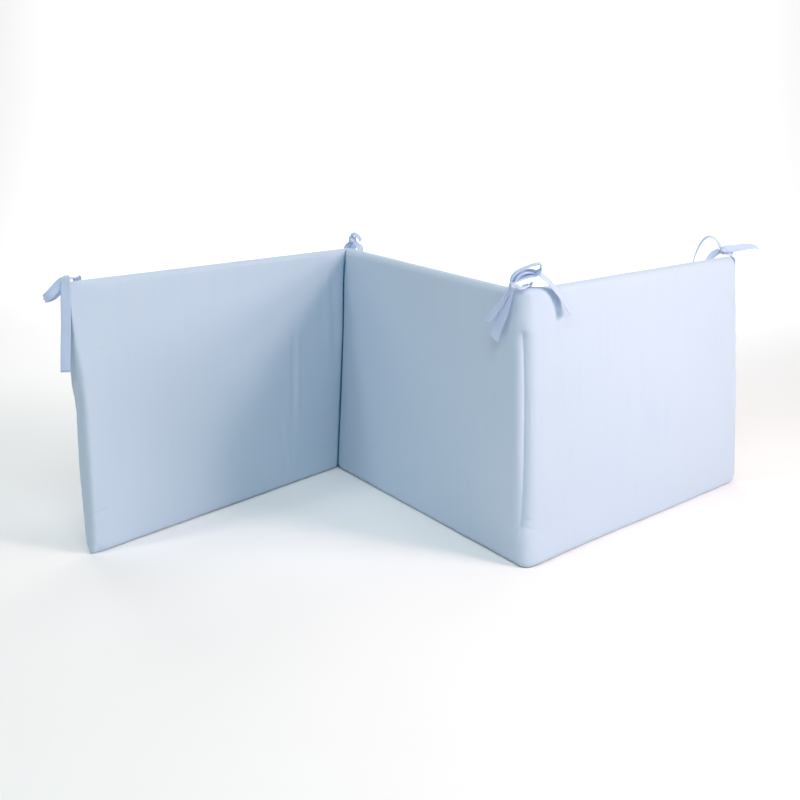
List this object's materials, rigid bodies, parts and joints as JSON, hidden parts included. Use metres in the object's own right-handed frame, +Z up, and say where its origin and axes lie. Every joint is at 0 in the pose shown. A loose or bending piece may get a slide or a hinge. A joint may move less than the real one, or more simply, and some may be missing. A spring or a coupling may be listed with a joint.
{
  "type": "crib bumper",
  "caption": "Long padded crib bumper, sewn through into panels and stood on edge in a zigzag, with a knotted tape tie at the top of each upright edge.",
  "frame": {"origin": "on the surface that the bumper stands on, under the middle of the whole object's box", "axes": "+X from the left end to the right end as seen from the front, +Y to the back, +Z up along the panels' height"},
  "size_m": [1.1206, 0.5827, 0.4396],
  "materials": {
    "cover_cloth": "matt woven cotton",
    "tape_cloth": "matt woven cotton tape"
  },
  "bodies": {
    "root": {"bumper_pad": "cover_cloth", "tie_left_end": "tape_cloth", "tie_valley": "tape_cloth", "tie_ridge": "tape_cloth", "tie_right_end": "tape_cloth"}
  },
  "joints": []
}
